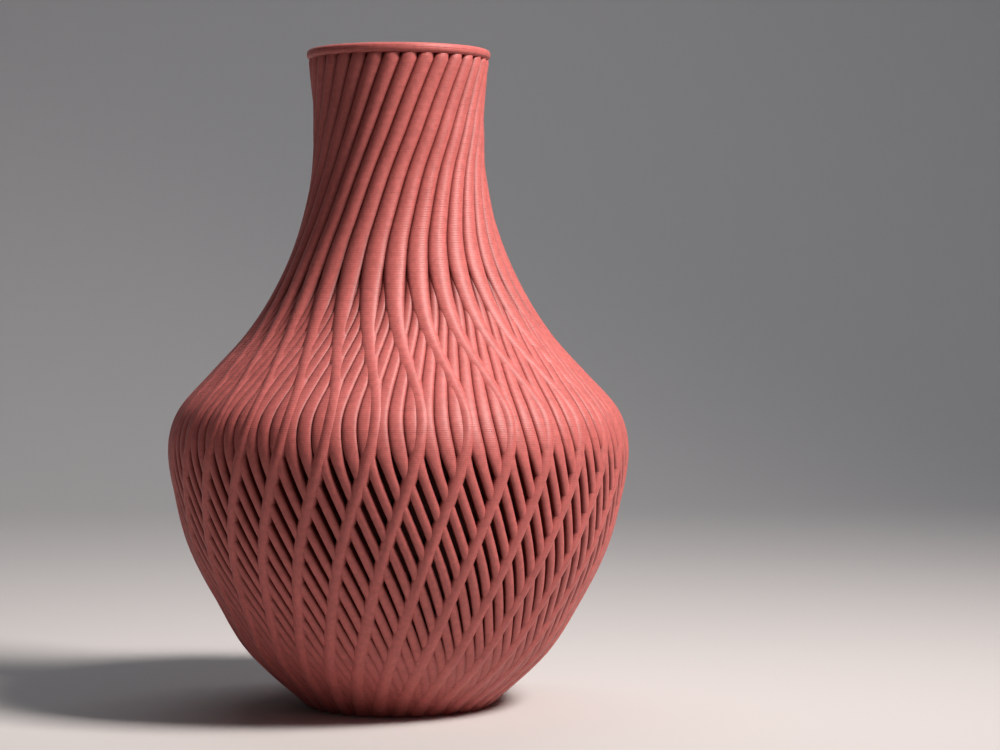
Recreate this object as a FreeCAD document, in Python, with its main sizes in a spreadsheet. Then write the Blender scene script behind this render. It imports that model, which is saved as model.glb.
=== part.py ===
import FreeCAD, Part
import Sketcher
import math
import os

from types import SimpleNamespace
from FreeCAD import Placement, Rotation, Vector

# A round-bellied vase whose skin is woven from two families of strands: thick outer
# ropes that stand proud, and thinner ribs that cross behind them.  A plain closed
# wall lies behind both, with a flat floor and a smooth rim.  Millimetres, +Z up, the
# origin at the middle of the base.  Angles turn about +Z from the -Y side.

SIZES = [
    ("total_height", 276.4, "base to the top of the rim"),
    ("base_radius", 39.3, "rope crests at the base"),
    ("belly_radius", 97.2, "rope crests at the widest place"),
    ("belly_height", 104.0, "height of the widest place"),
    ("waist_radius", 36.1, "rope crests at the narrowest place"),
    ("neck_height", 29.5, "from the narrowest place up to the rim"),
    ("mouth_radius", 38.2, "rope crests just under the rim"),
    ("wall_depth", 4.6, "from the rope crests in to the wall"),
    ("wall_thickness", 2.4, "vessel wall"),
    ("foot_top", 46.0, "where the foot's wall meets the belly's"),
    ("belly_top", 124.0, "where the belly's wall meets the shoulder's"),
    ("shoulder_top", 190.0, "where the shoulder's wall meets the neck's"),
    ("floor_thickness", 3.2, "floor disc"),
    ("rim_height", 3.9, "rim, bottom to top"),
    ("rim_overhang", 0.5, "rim out beyond the rope crests"),
    ("rim_lip", 0.7, "rim in beyond the wall"),
    ("rim_rounding", 1.6, "fillet on the rim's edges"),
    ("rope_count", 32, "outer ropes"),
    ("rope_radius", 3.35, "half the width of an outer rope"),
    ("rope_phase", -1.8, "degrees that the ropes are turned by"),
    ("ribs_per_rope", 3, "inner ribs for each outer rope"),
    ("ribs_per_bundle", 6, "inner ribs that share a node"),
    ("rib_radius", 2.0, "half the width of an inner rib"),
    ("rib_drop", 0.6, "rib crests below the rope crests"),
    ("rib_phase", 2.9, "degrees that the ribs are turned by"),
    ("bare_height", 60.5, "from where the ribs end up to the rim"),
]

# The outline between two named places, as pairs: the share of the height between
# them, and the share of the change in radius.
BASE_TO_BELLY = [(0.0, 0.0), (0.21, 0.41), (0.42, 0.65), (0.63, 0.84), (0.82, 0.945), (1.0, 1.0)]
BELLY_TO_WAIST = [(0.09, 0.015), (0.165, 0.09), (0.265, 0.295), (0.385, 0.54), (0.525, 0.74),
                  (0.685, 0.895), (0.86, 0.985), (1.0, 1.0)]
WAIST_TO_MOUTH = [(0.4, 0.12), (1.0, 1.0)]

# How far each family has turned, as pairs: the share of the total height, and degrees.
ROPE_TURN = [(0.0, -21.5), (0.07, -14.5), (0.145, -8.6), (0.29, -0.2), (0.36, 3.9), (0.42, 6.6),
             (0.463, 7.4), (0.507, 6.0), (0.543, 3.6), (0.58, 1.3), (0.615, 0.0), (0.655, -0.35),
             (0.69, 0.4), (0.725, 2.7), (0.8, 11.4), (0.87, 23.4), (1.0, 46.0)]
RIB_TURN = [(0.0, 31.5), (0.07, 25.2), (0.14, 19.2), (0.225, 12.8), (0.34, 4.6), (0.4, 1.2),
            (0.45, 0.0), (0.49, 0.9), (0.54, 3.6), (0.6, 7.8), (0.655, 9.8), (0.69, 9.3),
            (0.725, 7.3), (0.77, 1.6)]

# The wall's zones, from the base up, with the cells that give where each ends.
WALL_ZONES = [("foot_wall", "foot_top"), ("belly_wall", "belly_top"),
              ("shoulder_wall", "shoulder_top"), ("neck_wall", "body_top")]

# Half of a strand's section, from its crown to its widest place, as shares of half
# its width: out from the middle, and to the side.  Its back is flat, and narrower.
STRAND_SIDE = [(1.0, 0.35), (0.75, 0.85), (0.0, 1.0)]
BACK_WIDTH = 0.8

ROPE_SECTIONS = 40
RIB_SECTIONS = 30
OUTLINE_POINTS = 28
OVERRUN = 9.0           # how far a strand runs past the levels that it is cut off at
SEAT = 0.1              # how far a strand's flat back is sunk in the wall
LEVEL_STEPS = 30        # rounds of closing in on a level
SLOPE_STEP = 0.01       # height step that slopes are measured over


def add_cell(sheet, row, alias, value, note):
    sheet.set("A%d" % row, alias)
    sheet.set("B%d" % row, repr(value))
    sheet.setAlias("B%d" % row, alias)
    sheet.set("C%d" % row, note)


def make_sheet(doc):
    sheet = doc.addObject("Spreadsheet::Sheet", "Sizes")
    for row, (alias, value, note) in enumerate(SIZES, start=1):
        add_cell(sheet, row, alias, value, note)
    doc.recompute()
    return sheet


def smooth(points, x):
    """A smooth curve through points, going straight on beyond its ends."""
    last = len(points) - 1

    def slope(i):
        a, b = points[max(i - 1, 0)], points[min(i + 1, last)]
        return (b[1] - a[1]) / (b[0] - a[0])

    if x <= points[0][0]:
        return points[0][1] + slope(0) * (x - points[0][0])
    if x >= points[last][0]:
        return points[last][1] + slope(last) * (x - points[last][0])
    i = max(k for k in range(last) if points[k][0] <= x)
    (x0, y0), (x1, y1) = points[i], points[i + 1]
    width = x1 - x0
    u = (x - x0) / width
    level = y0 * (1 + 2 * u) * (1 - u) ** 2 + y1 * u * u * (3 - 2 * u)
    return level + width * u * (1 - u) * (slope(i) * (1 - u) - slope(i + 1) * u)


def crest_outline():
    """The outline that the rope crests follow, as (height, radius) points."""
    places = [(0.0, size.base_radius), (size.belly_height, size.belly_radius),
              (body_top - size.neck_height, size.waist_radius), (body_top, size.mouth_radius)]
    points = []
    for (z0, r0), (z1, r1), shares in zip(places, places[1:],
                                          [BASE_TO_BELLY, BELLY_TO_WAIST, WAIST_TO_MOUTH]):
        points += [(z0 + (z1 - z0) * up, r0 + (r1 - r0) * out) for up, out in shares]
    return points


def inside_crests(height, depth):
    """Radius and height of the place that lies depth inside the crests."""
    radius = smooth(outline, height)
    lean = (smooth(outline, height + SLOPE_STEP) - radius) / SLOPE_STEP
    length = math.hypot(1.0, lean)
    return radius - depth / length, height + depth * lean / length


def turned(table, height):
    return smooth(table, height / size.total_height)


def touching_radius(table, count, height, depth):
    """Half the distance between two neighbours in a family of strands."""
    r0, z0 = inside_crests(height, depth)
    r1, z1 = inside_crests(height + SLOPE_STEP, depth)
    turn = math.radians(turned(table, height + SLOPE_STEP) - turned(table, height))
    steep = math.atan2(r0 * turn, math.hypot(r1 - r0, z1 - z0))
    return math.pi * r0 / count * math.cos(steep)


def strand_point(table, phase, height, depth):
    radius, z = inside_crests(height, depth)
    angle = math.radians(turned(table, height) + phase)
    return Vector(radius * math.sin(angle), -radius * math.cos(angle), z)


def strand_section(radius, back):
    """A low crown that faces +X, steep sides, and a flat back behind the middle."""
    half = [(radius * out, radius * aside) for out, aside in STRAND_SIDE]
    half.append((-back, radius * BACK_WIDTH))
    corners = [Vector(x, y, 0) for x, y in half] + [Vector(x, -y, 0) for x, y in reversed(half)]
    return Part.makePolygon(corners + corners[:1])


def spread(low, high, count):
    return [low + (high - low) * i / (count - 1) for i in range(count)]


def make_strand(table, phase, count, full_radius, drop, top, sections):
    """One strand of a family, thinner where its neighbours crowd it, cut off flat."""
    rings = []
    for height in spread(-OVERRUN, top, sections):
        radius = min(full_radius, touching_radius(table, count, height, drop + full_radius))
        middle = drop + radius
        here = strand_point(table, phase, height, middle)
        outward = strand_point(table, phase, height, 0) - here
        along = strand_point(table, phase, height + SLOPE_STEP, middle) - here
        ring = strand_section(radius, size.wall_depth + SEAT - middle)
        ring.Placement = Placement(here, Rotation(outward, Vector(), along, "ZXY"))
        rings.append(ring)
    reach = 2 * size.belly_radius
    slab = Part.makeBox(2 * reach, 2 * reach, body_top, Vector(-reach, -reach, 0))
    return Part.makeLoft(rings, True).common(slab).Solids[0]


def crest_height(level, depth):
    """The crest height whose place depth inside the crests lies at level."""
    height = level
    for _ in range(LEVEL_STEPS):
        height += level - inside_crests(height, depth)[1]
    return height


def side_edge(depth, low, high):
    """A curve up the outline, depth inside the crests, from one level to another."""
    curve = Part.BSplineCurve()
    heights = spread(crest_height(low, depth), crest_height(high, depth), OUTLINE_POINTS)
    places = [inside_crests(height, depth) for height in heights]
    places[0], places[-1] = (places[0][0], low), (places[-1][0], high)
    curve.interpolate([Vector(radius, 0, z) for radius, z in places])
    return curve.toShape()


def make_wall(doc):
    """The closed wall, turned from its outline, with a round seat for the floor, and
    parted by level cuts into its zones."""
    outer = side_edge(size.wall_depth, 0.0, body_top)
    inner = side_edge(size.wall_depth + size.wall_thickness, size.floor_thickness, body_top)
    foot, lip = outer.Vertexes[0].Point, outer.Vertexes[1].Point
    inner_foot, inner_lip = inner.Vertexes[0].Point, inner.Vertexes[1].Point
    seat_radius = foot.x - size.wall_thickness
    seat_top, seat_low = Vector(seat_radius, 0, size.floor_thickness), Vector(seat_radius, 0, 0)
    corners = [(lip, inner_lip), (inner_foot, seat_top), (seat_top, seat_low), (seat_low, foot)]
    lines = [Part.makeLine(a, b) for a, b in corners]
    section = doc.addObject("Part::Feature", "wall_section")
    section.Shape = Part.Face(Part.Wire(Part.__sortEdges__([outer, inner] + lines)))
    wall = doc.addObject("Part::Revolution", "whole_wall")
    wall.Source = section
    wall.Axis = Vector(0, 0, 1)
    wall.Solid = True
    zones, bottom = [], "0 mm"
    for name, top in WALL_ZONES:
        zones.append(cut_zone(doc, wall, name, bottom, "Sizes.%s * 1 mm" % top))
        bottom = "Sizes.%s * 1 mm" % top
    return zones, seat_radius


def cut_zone(doc, wall, name, bottom, top):
    slab = doc.addObject("Part::Cylinder", name + "_slab")
    slab.setExpression("Radius", "Sizes.belly_radius * 1 mm")
    slab.setExpression("Height", "%s - %s" % (top, bottom))
    slab.setExpression("Placement.Base.z", bottom)
    zone = doc.addObject("Part::Common", name)
    zone.Base, zone.Tool = wall, slab
    return zone


def new_sketch(body, role):
    """A sketch on one of the body's own origin planes."""
    plane = next(f for f in body.Origin.OriginFeatures if f.Role == role)
    sketch = body.newObject("Sketcher::SketchObject", body.Name + "_sketch")
    sketch.AttachmentSupport = [(plane, "")]
    sketch.MapMode = "FlatFace"
    return sketch


def constrain(sketch, kind, *where, to):
    """Add a size to a sketch and bind it to a cell of the sheet."""
    index = sketch.addConstraint(Sketcher.Constraint(kind, *where, 1.0))
    sketch.setExpression("Constraints[%d]" % index, to)


def make_floor(doc):
    body = doc.addObject("PartDesign::Body", "floor_disc")
    sketch = new_sketch(body, "XY_Plane")
    sketch.addGeometry(Part.Circle(Vector(), Vector(0, 0, 1), size.floor_radius))
    sketch.addConstraint(Sketcher.Constraint("Coincident", 0, 3, -1, 1))
    constrain(sketch, "Radius", 0, to="Sizes.floor_radius")
    pad = body.newObject("PartDesign::Pad", "floor_pad")
    pad.Profile = sketch
    pad.setExpression("Length", "Sizes.floor_thickness")
    return body


def make_rim(doc):
    """The smooth ring that the ropes and the wall end under."""
    body = doc.addObject("PartDesign::Body", "rim_ring")
    sketch = new_sketch(body, "XZ_Plane")
    outside, top = size.mouth_radius + size.rim_overhang, size.total_height
    inside = size.mouth_radius - size.wall_depth - size.wall_thickness - size.rim_lip
    corners = [(inside, body_top), (outside, body_top), (outside, top), (inside, top)]
    corners = [Vector(x, y, 0) for x, y in corners]
    for a, b in zip(corners, corners[1:] + corners[:1]):
        sketch.addGeometry(Part.LineSegment(a, b))
    for i in range(4):
        sketch.addConstraint(Sketcher.Constraint("Coincident", i, 2, (i + 1) % 4, 1))
        sketch.addConstraint(Sketcher.Constraint("Vertical" if i % 2 else "Horizontal", i))
    constrain(sketch, "DistanceX", -1, 1, 1, 1, to="Sizes.mouth_radius + Sizes.rim_overhang")
    constrain(sketch, "DistanceX", 0, 1, 0, 2,
              to="Sizes.rim_overhang + Sizes.wall_depth + Sizes.wall_thickness + Sizes.rim_lip")
    constrain(sketch, "DistanceY", 1, 1, 1, 2, to="Sizes.rim_height")
    constrain(sketch, "DistanceY", -1, 1, 1, 2, to="Sizes.total_height")
    turn = body.newObject("PartDesign::Revolution", "rim_turn")
    turn.Profile = sketch
    turn.ReferenceAxis = (sketch, ["V_Axis"])
    doc.recompute()
    rounding = body.newObject("PartDesign::Fillet", "rim_rounding")
    rounding.Base = (turn, ["Edge%d" % (i + 1) for i, e in enumerate(turn.Shape.Edges)
                            if isinstance(e.Curve, Part.Circle)])
    rounding.setExpression("Radius", "Sizes.rim_rounding")
    return body


def turned_copy(shape, degrees):
    copy = shape.copy()
    copy.rotate(Vector(), Vector(0, 0, 1), degrees)
    return copy


def add_piece(doc, name, shape, degrees):
    """A piece of its own, turned into place about the vase's axis."""
    piece = doc.addObject("Part::Feature", name)
    piece.Shape = shape
    piece.Placement = Placement(Vector(), Rotation(Vector(0, 0, 1), degrees))
    return piece


def make_ropes(doc):
    pitch = 360.0 / rope_count
    rope = make_strand(ROPE_TURN, size.rope_phase, rope_count, size.rope_radius,
                       0.0, body_top + OVERRUN, ROPE_SECTIONS)
    return [add_piece(doc, "outer_rope_%02d" % (i + 1), rope, i * pitch) for i in range(rope_count)]


def make_ribs(doc):
    """The ribs, in bundles of neighbours that each share a node."""
    rib_count = rope_count * int(size.ribs_per_rope)
    in_bundle = int(size.ribs_per_bundle)
    pitch = 360.0 / rib_count
    rib = make_strand(RIB_TURN, size.rib_phase, rib_count, size.rib_radius,
                      size.rib_drop, body_top - size.bare_height, RIB_SECTIONS)
    bundles = []
    for first in range(0, rib_count, in_bundle):
        ribs = [turned_copy(rib, i * pitch) for i in range(min(in_bundle, rib_count - first))]
        name = "rib_bundle_%02d" % (len(bundles) + 1)
        bundles.append(add_piece(doc, name, Part.Compound(ribs), first * pitch))
    return bundles


def check(doc, pieces):
    for item in doc.Objects:
        if "Invalid" in item.State or "Error" in item.State:
            raise RuntimeError("%s did not build" % item.Label)
    for piece in pieces:
        if piece.Shape.isNull() or not piece.Shape.isValid():
            raise RuntimeError("%s has no valid shape" % piece.Label)


doc = FreeCAD.newDocument("woven_vase")
sheet = make_sheet(doc)
size = SimpleNamespace(**{alias: sheet.get(alias) for alias, _, _ in SIZES})
rope_count = int(size.rope_count)
body_top = size.total_height - size.rim_height
outline = crest_outline()

add_cell(sheet, len(SIZES) + 1, "body_top", body_top, "where the body meets the rim")
walls, size.floor_radius = make_wall(doc)
add_cell(sheet, len(SIZES) + 2, "floor_radius", size.floor_radius, "worked out from the wall")
pieces = walls + [make_floor(doc), make_rim(doc)] + make_ropes(doc) + make_ribs(doc)
doc.recompute()
check(doc, pieces)

os.makedirs("parts", exist_ok=True)
for piece in pieces:
    piece.Shape.exportStep("parts/%s.step" % piece.Label)
    print("%-16s %3d solids %10.1f mm3" % (piece.Label, len(piece.Shape.Solids), piece.Shape.Volume))
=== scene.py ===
# Woven vase, printed in brick-red PLA. Metres, +Z up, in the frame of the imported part.
import math

import bmesh
import bpy
import numpy as np
from mathutils import Euler, Matrix, Vector


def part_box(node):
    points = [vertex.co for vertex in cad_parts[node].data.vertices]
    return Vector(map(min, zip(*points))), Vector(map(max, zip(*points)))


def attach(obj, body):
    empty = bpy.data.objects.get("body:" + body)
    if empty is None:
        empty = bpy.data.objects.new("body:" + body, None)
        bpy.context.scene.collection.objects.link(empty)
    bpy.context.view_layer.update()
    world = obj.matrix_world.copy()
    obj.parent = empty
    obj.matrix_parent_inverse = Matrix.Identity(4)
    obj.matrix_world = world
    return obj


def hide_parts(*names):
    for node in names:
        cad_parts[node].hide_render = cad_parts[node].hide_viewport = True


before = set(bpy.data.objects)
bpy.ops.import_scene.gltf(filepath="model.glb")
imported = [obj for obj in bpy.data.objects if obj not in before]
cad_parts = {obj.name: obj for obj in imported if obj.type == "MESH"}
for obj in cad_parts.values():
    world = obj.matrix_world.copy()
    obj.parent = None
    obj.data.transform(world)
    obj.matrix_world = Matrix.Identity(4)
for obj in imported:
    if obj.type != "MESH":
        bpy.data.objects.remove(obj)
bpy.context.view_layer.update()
mm = 0.001

# the outline that the rope crests follow; its top comes from the frame
rimLow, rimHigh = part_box("rim_ring")
totalHeight = rimHigh.z
bodyTop = rimLow.z
outlineForm = {
    "baseRadius": 39.3 * mm,
    "bellyRadius": 97.2 * mm,
    "bellyHeight": 104.0 * mm,
    "waistRadius": 36.1 * mm,
    "neckHeight": 29.5 * mm,   # narrowest place up to the rim
    "mouthRadius": 38.2 * mm,
    # between two places: share of the height, share of the change in radius
    "baseToBelly": [(0.0, 0.0), (0.21, 0.41), (0.42, 0.65), (0.63, 0.84), (0.82, 0.945),
                    (1.0, 1.0)],
    "bellyToWaist": [(0.09, 0.015), (0.165, 0.09), (0.265, 0.295), (0.385, 0.54),
                     (0.525, 0.74), (0.685, 0.895), (0.86, 0.985), (1.0, 1.0)],
    "waistToMouth": [(0.4, 0.12), (1.0, 1.0)],
}


def crestOutline(form):
    places = [(0.0, form["baseRadius"]), (form["bellyHeight"], form["bellyRadius"]),
              (bodyTop - form["neckHeight"], form["waistRadius"]), (bodyTop, form["mouthRadius"])]
    stretches = [form["baseToBelly"], form["bellyToWaist"], form["waistToMouth"]]
    points = []
    for (z0, r0), (z1, r1), shares in zip(places, places[1:], stretches):
        points += [(z0 + (z1 - z0) * up, r0 + (r1 - r0) * out) for up, out in shares]
    return points


outline = crestOutline(outlineForm)
slopeStep = 0.01 * mm   # a short step along a curve, to find its direction


def smoothThrough(points, x):  # straight on beyond both ends
    xs, ys = np.array(points, float).T
    slope = np.empty(len(xs))
    slope[1:-1] = (ys[2:] - ys[:-2]) / (xs[2:] - xs[:-2])
    slope[0] = (ys[1] - ys[0]) / (xs[1] - xs[0])
    slope[-1] = (ys[-1] - ys[-2]) / (xs[-1] - xs[-2])
    x = np.asarray(x, float)
    i = np.clip(np.searchsorted(xs, x, side="right") - 1, 0, len(xs) - 2)
    width = xs[i + 1] - xs[i]
    u = (x - xs[i]) / width
    level = ys[i] * (1 + 2 * u) * (1 - u) ** 2 + ys[i + 1] * u * u * (3 - 2 * u)
    level = level + width * u * (1 - u) * (slope[i] * (1 - u) - slope[i + 1] * u)
    level = np.where(x < xs[0], ys[0] + slope[0] * (x - xs[0]), level)
    return np.where(x > xs[-1], ys[-1] + slope[-1] * (x - xs[-1]), level)


def insideCrests(height, depth):  # radius and height, depth inside the crests
    radius = smoothThrough(outline, height)
    lean = (smoothThrough(outline, height + slopeStep) - radius) / slopeStep
    length = np.hypot(1.0, lean)
    return radius - depth / length, height + depth * lean / length


# how the strands, both ropes and ribs, lie on the wall
wallDepth = 4.6 * mm   # rope crests in to the wall's face
sunk = 0.2 * mm        # a strand's flat back in the wall
runOn = 9.0 * mm       # how far a strand runs on past its ends before it is cut level
flankSquareness = 5    # steep sides behind a strand's widest place
sharpAngle = 50        # degrees; edges sharper than this aren't smoothed


def strandPoint(strand, height, depth):
    radius, z = insideCrests(height, depth)
    turn = smoothThrough(strand["turn"], height / totalHeight)
    angle = np.radians(turn + strand["phase"])
    return np.stack([radius * np.sin(angle), -radius * np.cos(angle), z], 1)


def unit(v):
    return v / np.linalg.norm(v, axis=1, keepdims=True)


def halfPitch(strand, height):  # half the way across to the next strand of the family
    r0, z0 = insideCrests(height, strand["middle"])
    r1, z1 = insideCrests(height + slopeStep, strand["middle"])
    turn = smoothThrough(strand["turn"], np.stack([height, height + slopeStep]) / totalHeight)
    steep = np.arctan2(r0 * np.radians(turn[1] - turn[0]), np.hypot(r1 - r0, z1 - z0))
    return math.pi * r0 / strand["count"] * np.cos(steep)


def halfAndDrop(strand, height):  # half width, and depth of the crest below the outline
    share = height / totalHeight
    slot = smoothThrough(strand["slot"], share) * mm
    half = np.minimum(smoothThrough(strand["half"], share) * mm, halfPitch(strand, height) - slot / 2)
    drop = smoothThrough(strand["drop"], share) * mm
    tip = np.clip((height - strand["top"] + strand["tip"]) / strand["tip"], 0.0, 1.0) ** 2
    return half * (1 - strand["tipTaper"] * tip), drop + strand["tipDrop"] * tip


def signedPower(v, power):
    return math.copysign(abs(v) ** power, v)


def cutLevel(bm, level, keepAbove):  # the cut is closed with a flat face
    cut = bmesh.ops.bisect_plane(
        bm, geom=bm.verts[:] + bm.edges[:] + bm.faces[:], dist=1e-7,
        plane_co=(0, 0, level), plane_no=(0, 0, 1),
        clear_inner=keepAbove, clear_outer=not keepAbove)
    edges = [e for e in cut["geom_cut"] if isinstance(e, bmesh.types.BMEdge)]
    bmesh.ops.edgeloop_fill(bm, edges=edges)


def strandMesh(strand, name):
    height = np.linspace(-runOn, strand["top"] + runOn, strand["rings"])
    half, drop = halfAndDrop(strand, height)
    crown = np.minimum(strand["crown"], half)
    middle = drop + crown
    back = np.maximum(wallDepth - middle + sunk, sunk)
    here = strandPoint(strand, height, middle)
    outward = unit(strandPoint(strand, height, 0.0) - here)
    along = unit(strandPoint(strand, height + slopeStep, middle) - here)
    side = np.cross(along, outward)
    bm = bmesh.new()
    paintedShade = bm.verts.layers.float.new("paintedShade")  # where painted shade goes: 0 on the outline, 1 on the wall
    rings = []
    for i in range(strand["rings"]):
        ring = []
        for j in range(strand["spokes"]):
            angle = 2 * math.pi * j / strand["spokes"]
            front = math.cos(angle) > 0
            power = 2 / (strand["squareness"] if front else flankSquareness)
            out = (crown[i] if front else back[i]) * signedPower(math.cos(angle), power)
            across = half[i] * signedPower(math.sin(angle), power)
            vertex = bm.verts.new(here[i] + outward[i] * out + side[i] * across)
            vertex[paintedShade] = (crown[i] - out + drop[i]) / wallDepth
            ring.append(vertex)
        rings.append(ring)
    for low, high in zip(rings, rings[1:]):
        for j in range(strand["spokes"]):
            k = (j + 1) % strand["spokes"]
            bm.faces.new((low[j], low[k], high[k], high[j]))
    cutLevel(bm, 0.0, True)
    cutLevel(bm, strand["top"], False)
    bmesh.ops.recalc_face_normals(bm, faces=bm.faces[:])
    mesh = bpy.data.meshes.new(name)
    bm.to_mesh(mesh)
    bm.free()
    return mesh


def turnedCopies(mesh, name, degrees):  # one mesh of copies turned about the axis
    bm = bmesh.new()
    for angle in degrees:
        copy = mesh.copy()
        copy.transform(Matrix.Rotation(math.radians(angle), 4, "Z"))
        bm.from_mesh(copy)
        bpy.data.meshes.remove(copy)
    joined = bpy.data.meshes.new(name)
    bm.to_mesh(joined)
    bm.free()
    return joined


def addPiece(name, mesh, material, slot, *nodes):
    mesh.shade_smooth()
    mesh.set_sharp_from_angle(angle=math.radians(sharpAngle))
    piece = bpy.data.objects.new(name, mesh)
    bpy.context.scene.collection.objects.link(piece)
    mesh.materials.append(material)
    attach(piece, "root")
    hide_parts(*nodes)
    return piece


def fromHex(code):  # sRGB hex to linear
    values = [int(code[i:i + 2], 16) / 255 for i in (0, 2, 4)]
    return [v / 12.92 if v <= 0.04045 else ((v + 0.055) / 1.055) ** 2.4 for v in values] + [1.0]


def addNode(tree, kind, inputs=(), **settings):
    node = tree.nodes.new(kind)
    for key, value in settings.items():
        setattr(node, key, value)
    for key, value in dict(inputs).items():
        if isinstance(value, bpy.types.NodeSocket):
            tree.links.new(value, node.inputs[key])
        else:
            node.inputs[key].default_value = value
    return node


# PLA filament with a matte filler, laid in level lines: a broad soft highlight,
# faint lines round the vase, and dark pinholes where a line was starved
pla = {
    "colour": "C46964",
    "deeper": "B35D58",           # in soft blotches
    "paintedShade": "571611",           # painted shade, down in the creases
    "layer": 0.7 * mm,            # real layers are about 0.2 mm; drawn coarser so that they show
    "relief": 0.1 * mm,
    "reliefStrength": 0.5,
    "grooveShade": 0.94,          # brightness between two lines
    "flow": 2.2 * mm,             # a line is laid a little richer or leaner along its way
    "flowShades": (0.86, 1.1),
    "blotch": 16.0 * mm,
    "pinhole": 1.7 * mm,          # from one to the next
    "pinholeFlatness": 3,         # wider than high, as a starved line leaves it
    "pinholeEdge": (0.05, 0.2),   # share of the way to the next, dark until the first
    "pinholeShade": 0.55,
    "roughness": 0.46,
    "ior": 1.46,
    "gloss": 0.4,
    "bloom": 0.1,                 # the filler's chalky sheen
    "bloomRoughness": 0.4,
    "bloomTint": "E09A92",
}


def printedSurface(tree, place, settings):  # colour and bump of the printed lines
    z = addNode(tree, "ShaderNodeSeparateXYZ", {"Vector": place}).outputs["Z"]
    layer = addNode(tree, "ShaderNodeMath", {0: z, 1: settings["layer"]}, operation="DIVIDE")
    index = addNode(tree, "ShaderNodeMath", {0: layer.outputs[0]}, operation="FLOOR")
    share = addNode(tree, "ShaderNodeMath", {0: layer.outputs[0]}, operation="FRACT")
    level = addNode(tree, "ShaderNodeTexWhiteNoise", {"W": index.outputs[0]}, noise_dimensions="1D")
    arc = addNode(tree, "ShaderNodeMath", {0: share.outputs[0], 1: math.pi}, operation="MULTIPLY")
    arc = addNode(tree, "ShaderNodeMath", {0: arc.outputs[0]}, operation="SINE")
    relief = addNode(tree, "ShaderNodeMath", {0: arc.outputs[0], 1: level.outputs["Value"]},
                     operation="ADD")
    flow = addNode(tree, "ShaderNodeTexNoise",
                   {"Vector": place, "Scale": 1 / settings["flow"], "Detail": 4.0})
    relief = addNode(tree, "ShaderNodeMath", {0: relief.outputs[0], 1: flow.outputs["Fac"]},
                     operation="ADD")
    bump = addNode(tree, "ShaderNodeBump",
                   {"Height": relief.outputs[0], "Strength": settings["reliefStrength"],
                    "Distance": settings["relief"]})
    blotch = addNode(tree, "ShaderNodeTexNoise",
                     {"Vector": place, "Scale": 1 / settings["blotch"], "Detail": 3.0})
    colour = addNode(tree, "ShaderNodeMix",
                     {0: blotch.outputs["Fac"], 6: fromHex(settings["colour"]),
                      7: fromHex(settings["deeper"])}, data_type="RGBA")
    groove = addNode(tree, "ShaderNodeMapRange",
                     {"Value": arc.outputs[0], "To Min": settings["grooveShade"]})
    flat = addNode(tree, "ShaderNodeVectorMath",
                   {0: place, 1: (1, 1, settings["pinholeFlatness"])}, operation="MULTIPLY")
    pinhole = addNode(tree, "ShaderNodeTexVoronoi",
                      {"Vector": flat.outputs["Vector"], "Scale": 1 / settings["pinhole"]})
    darkUntil, clearFrom = settings["pinholeEdge"]
    pit = addNode(tree, "ShaderNodeMapRange",
                  {"Value": pinhole.outputs["Distance"], "From Min": darkUntil,
                   "From Max": clearFrom, "To Min": settings["pinholeShade"], "To Max": 1.0})
    marks = addNode(tree, "ShaderNodeMath", {0: groove.outputs[0], 1: pit.outputs[0]},
                    operation="MULTIPLY")
    lean, rich = settings["flowShades"]
    grain = addNode(tree, "ShaderNodeMapRange",
                    {"Value": flow.outputs["Fac"], "From Min": 0.3, "From Max": 0.7,
                     "To Min": lean, "To Max": rich})
    marks = addNode(tree, "ShaderNodeMath", {0: marks.outputs[0], 1: grain.outputs[0]},
                    operation="MULTIPLY")
    marked = addNode(tree, "ShaderNodeMix",
                     {0: 1.0, 6: colour.outputs[2], 7: marks.outputs[0]},
                     data_type="RGBA", blend_type="MULTIPLY")
    return marked.outputs[2], bump.outputs["Normal"]


def mattePla(name, settings, paintedShadeShare=None):  # the last argument gives 0 on top, 1 deep in a crease: how much painted shade is mixed in
    material = bpy.data.materials.new(name)
    material.use_nodes = True
    tree = material.node_tree
    shader = tree.nodes["Principled BSDF"]
    place = addNode(tree, "ShaderNodeTexCoord").outputs["Object"]
    colour, normal = printedSurface(tree, place, settings)
    # painted shade: the dark colour mixed in by the share given
    if paintedShadeShare:
        colour = addNode(tree, "ShaderNodeMix",
                         {0: paintedShadeShare(tree), 6: colour, 7: fromHex(settings["paintedShade"])},
                         data_type="RGBA").outputs[2]
    tree.links.new(colour, shader.inputs["Base Color"])
    tree.links.new(normal, shader.inputs["Normal"])
    shader.inputs["Roughness"].default_value = settings["roughness"]
    shader.inputs["IOR"].default_value = settings["ior"]
    shader.inputs["Specular IOR Level"].default_value = settings["gloss"]
    shader.inputs["Sheen Weight"].default_value = settings["bloom"]
    shader.inputs["Sheen Roughness"].default_value = settings["bloomRoughness"]
    shader.inputs["Sheen Tint"].default_value = fromHex(settings["bloomTint"])
    return material


# where painted shade darkens a strand, as a share of the way from the outline in to the wall
creaseShade = {"from": 0.14, "to": 0.5, "darkest": 0.95}


def strandPaintedShade(tree):
    depth = addNode(tree, "ShaderNodeAttribute", attribute_name="paintedShade").outputs["Fac"]
    return addNode(tree, "ShaderNodeMapRange",
                   {"Value": depth, "From Min": creaseShade["from"], "From Max": creaseShade["to"],
                    "To Max": creaseShade["darkest"]}).outputs[0]


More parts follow.
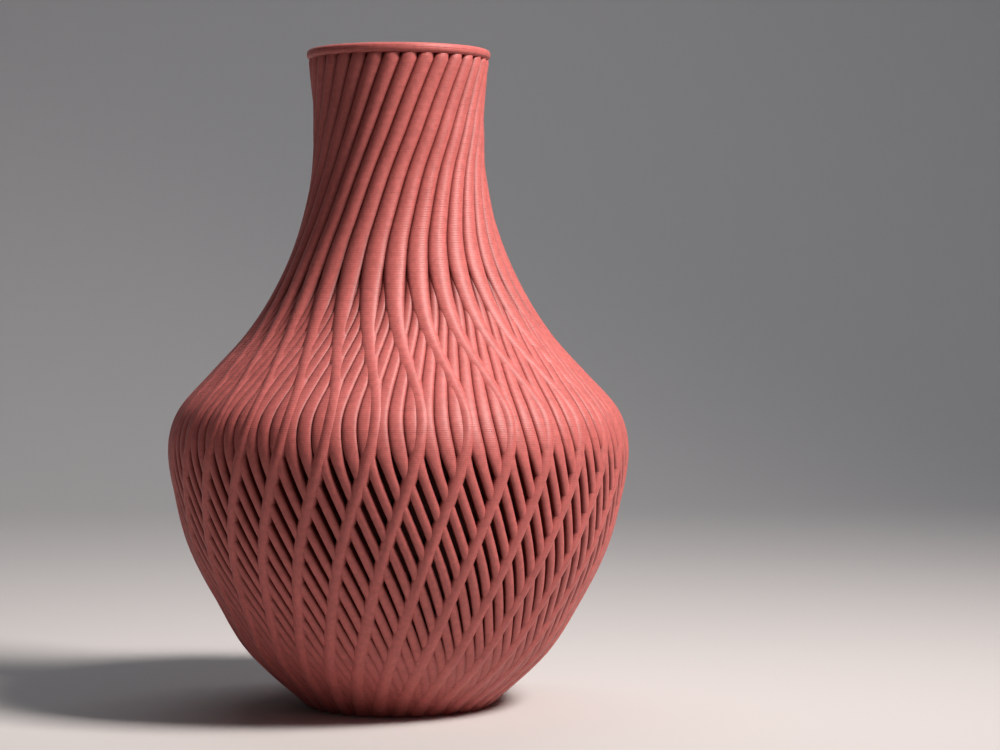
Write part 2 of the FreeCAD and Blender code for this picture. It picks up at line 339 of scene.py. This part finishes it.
def outerFace(tree):  # the wall's outer face lies behind the strands and is painted dark as shade; its inner face is open
    geometry = addNode(tree, "ShaderNodeNewGeometry")
    ring = addNode(tree, "ShaderNodeVectorMath",
                   {0: geometry.outputs["Position"], 1: (1, 1, 0)}, operation="MULTIPLY")
    facing = addNode(tree, "ShaderNodeVectorMath",
                     {0: geometry.outputs["True Normal"], 1: ring.outputs["Vector"]},
                     operation="DOT_PRODUCT")
    return addNode(tree, "ShaderNodeMath", {0: facing.outputs["Value"], 1: 0.0},
                   operation="GREATER_THAN").outputs[0]


# the same PLA at the bottom of the slots, where no gloss shows, painted dark there as shade
slotShadePla = {**pla, "paintedShade": "3A0A08", "gloss": 0.1, "bloom": 0.0}

# the strands get painted shade in their creases
strandPla = mattePla("mattePlaStrands", pla, strandPaintedShade)
wallPla = mattePla("mattePlaWall", slotShadePla, outerFace)
rimPla = mattePla("mattePlaRim", pla)
print("materials made")

# In both families, half width, open width to the next strand (slot) and depth below the
# outline (drop) are listed as share of the total height, then mm; turn is in degrees.
rope = {
    "count": 32,
    "crown": 2.2 * mm,         # how far the rounded top stands over the widest place
    "middle": 2.2 * mm,        # depth of the widest place, where the pitch is measured
    "phase": -1.8,             # degrees
    "squareness": 1.8,         # 2 is round; higher has a flatter crown and steeper sides
    "top": bodyTop,
    "tip": 1.8 * mm,           # rounded off under the rim
    "tipTaper": 0.2,
    "tipDrop": 0.5 * mm,
    "rings": 190,
    "spokes": 24,
    "half": [(0.0, 3.6), (0.1, 3.1), (0.2, 2.8), (0.3, 2.8), (0.4, 3.1), (0.5, 3.5), (0.62, 4.1),
             (0.7, 4.6), (1.0, 4.6)],
    "slot": [(0.0, -0.6), (0.2, -0.4), (0.6, -0.2), (1.0, -0.2)],
    "drop": [(0.0, 0.0), (1.0, 0.0)],
    "turn": [(0.0, -21.5), (0.07, -14.5), (0.145, -8.6), (0.29, -0.2), (0.36, 3.9), (0.42, 6.6),
             (0.463, 7.4), (0.507, 6.0), (0.543, 3.6), (0.58, 1.3), (0.615, 0.0), (0.655, -0.35),
             (0.69, 0.4), (0.725, 2.7), (0.8, 11.4), (0.87, 23.4), (1.0, 46.0)],
}
ropeMesh = strandMesh(rope, "ropeTemplate")
for i in range(rope["count"]):
    name = "rope%02d" % (i + 1)
    mesh = turnedCopies(ropeMesh, name, [360 * i / rope["count"]])
    addPiece(name, mesh, strandPla, "ropes", "outer_rope_%02d" % (i + 1))
print("ropes made", len(ropeMesh.polygons))

rib = {
    "count": 96,
    "perSet": 6,
    "crown": 1.3 * mm,
    "middle": 1.8 * mm,
    "phase": 2.9,
    "squareness": 2.2,
    "top": 211.0 * mm,
    "tip": 10.0 * mm,          # ends out of sight between the ropes
    "tipTaper": 0.3,
    "tipDrop": 0.5 * mm,
    "rings": 140,
    "spokes": 18,
    "half": [(0.0, 2.6), (0.37, 2.6), (0.44, 3.4), (0.8, 3.4)],
    "slot": [(0.0, -2.4), (0.06, -1.8), (0.09, -0.8), (0.12, 0.2), (0.2, 1.1), (0.28, 1.8),
             (0.36, 1.9), (0.38, 1.6), (0.395, 0.9), (0.408, 0.2), (0.43, 0.0), (0.5, -0.1),
             (0.56, -0.2), (0.8, -0.4)],
    "drop": [(0.0, 0.9), (0.09, 0.8), (0.15, 0.65), (0.3, 0.55), (0.42, 0.5), (0.54, 0.4),
             (0.6, 0.9), (0.65, 1.7), (0.72, 2.6), (0.8, 3.0)],
    "turn": [(0.0, 31.5), (0.07, 25.2), (0.14, 19.2), (0.225, 12.8), (0.34, 4.6), (0.4, 1.2),
             (0.45, 0.0), (0.49, 0.9), (0.54, 3.6), (0.6, 7.8), (0.655, 9.8), (0.69, 9.3),
             (0.725, 7.3), (0.77, 1.6)],
}
ribMesh = strandMesh(rib, "ribTemplate")
for i in range(rib["count"] // rib["perSet"]):
    name = "ribSet%02d" % (i + 1)
    angles = [360 * (i * rib["perSet"] + k) / rib["count"] for k in range(rib["perSet"])]
    mesh = turnedCopies(ribMesh, name, angles)
    addPiece(name, mesh, strandPla, "ribs", "rib_bundle_%02d" % (i + 1))
print("ribs made", len(ribMesh.polygons))

# the wall, floor and rim keep the shapes that the frame gives them
finishes = {"foot_wall": wallPla, "belly_wall": wallPla, "shoulder_wall": wallPla,
            "neck_wall": wallPla, "floor_disc": wallPla, "rim_ring": rimPla}
for name, material in finishes.items():
    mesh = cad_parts[name].data
    mesh.materials.clear()
    mesh.materials.append(material)
print("wall, floor and rim finished")

# matte background paper, curved up behind: pale, with no highlight
paper = {
    "front": -3.0,
    "back": 1.6,
    "height": 2.0,
    "bend": 0.6,
    "bendSteps": 12,
    "width": 6.0,
    "colour": "C4C2BF",
    "roughness": 0.9,
}


def addStage():
    bend, steps = paper["bend"], paper["bendSteps"]
    bendStart = paper["back"] - bend
    profile = [(paper["front"], 0.0), (bendStart, 0.0)]
    for i in range(1, steps + 1):
        angle = math.radians(90 * i / steps)
        profile.append((bendStart + bend * math.sin(angle), bend - bend * math.cos(angle)))
    profile.append((paper["back"], paper["height"]))
    mesh = bpy.data.meshes.new("sweep")
    verts = [(x, y, z) for y, z in profile for x in (-paper["width"] / 2, paper["width"] / 2)]
    faces = [(2 * i, 2 * i + 1, 2 * i + 3, 2 * i + 2) for i in range(len(profile) - 1)]
    mesh.from_pydata(verts, [], faces)
    mesh.shade_smooth()
    sweep = bpy.data.objects.new("sweep", mesh)
    bpy.context.scene.collection.objects.link(sweep)
    material = bpy.data.materials.new("palePaper")
    material.use_nodes = True
    shader = material.node_tree.nodes["Principled BSDF"]
    shader.inputs["Base Color"].default_value = fromHex(paper["colour"])
    shader.inputs["Roughness"].default_value = paper["roughness"]
    mesh.materials.append(material)


# one small lamp high on the right draws the shade between the strands; the others fill in
lamps = {
    "key": {"place": (0.78, -0.42, 1.12), "aim": (0.0, 0.0, 0.2), "size": (0.36, 0.36),
            "power": 6.4, "colour": "FFF5F2", "spread": 80},
    "soft": {"place": (0.5, -1.0, 1.6), "aim": (0.0, 0.0, 0.17), "size": (1.2, 1.2),
             "power": 0.7, "colour": "F6F4FF", "spread": 180},
    "backdrop": {"place": (0.0, 0.7, 1.9), "aim": (0.0, 1.5, 0.6), "size": (1.6, 0.4),
                 "power": 12.0, "colour": "F4F6FF", "spread": 180},
}


def addLight(name, lamp):
    light = bpy.data.lights.new(name, "AREA")
    light.shape = "RECTANGLE"
    light.size, light.size_y = lamp["size"]
    light.energy = lamp["power"]
    light.color = fromHex(lamp["colour"])[:3]
    light.spread = math.radians(lamp["spread"])
    holder = bpy.data.objects.new(name, light)
    bpy.context.scene.collection.objects.link(holder)
    holder.location = lamp["place"]
    aim = Vector(lamp["aim"]) - Vector(lamp["place"])
    holder.rotation_euler = aim.to_track_quat("-Z", "Y").to_euler()


room = {"colour": "DDE2EA", "strength": 0.04}   # a little light from all round


def addRoom():
    world = bpy.data.worlds.new("studio")
    bpy.context.scene.world = world
    world.use_nodes = True
    background = world.node_tree.nodes["Background"]
    background.inputs["Color"].default_value = fromHex(room["colour"])
    background.inputs["Strength"].default_value = room["strength"]


view = {
    "lens": 92.1,
    "sensor": 36.0,
    "place": (0.0, -1.0846, 0.1701),
    "down": 1.62,    # degrees below level
    "right": 2.26,   # degrees, which puts the vase left of the middle
}


def addCamera():
    data = bpy.data.cameras.new("camera")
    data.lens = view["lens"]
    data.sensor_width = view["sensor"]
    camera = bpy.data.objects.new("camera", data)
    bpy.context.scene.collection.objects.link(camera)
    camera.location = view["place"]
    camera.rotation_euler = Euler((math.radians(90 - view["down"]), 0.0, math.radians(-view["right"])))
    bpy.context.scene.camera = camera
    bpy.context.scene.view_settings.view_transform = "Standard"


addStage()
for name, lamp in lamps.items():
    addLight(name, lamp)
addRoom()
addCamera()
print("stage, light and camera set")
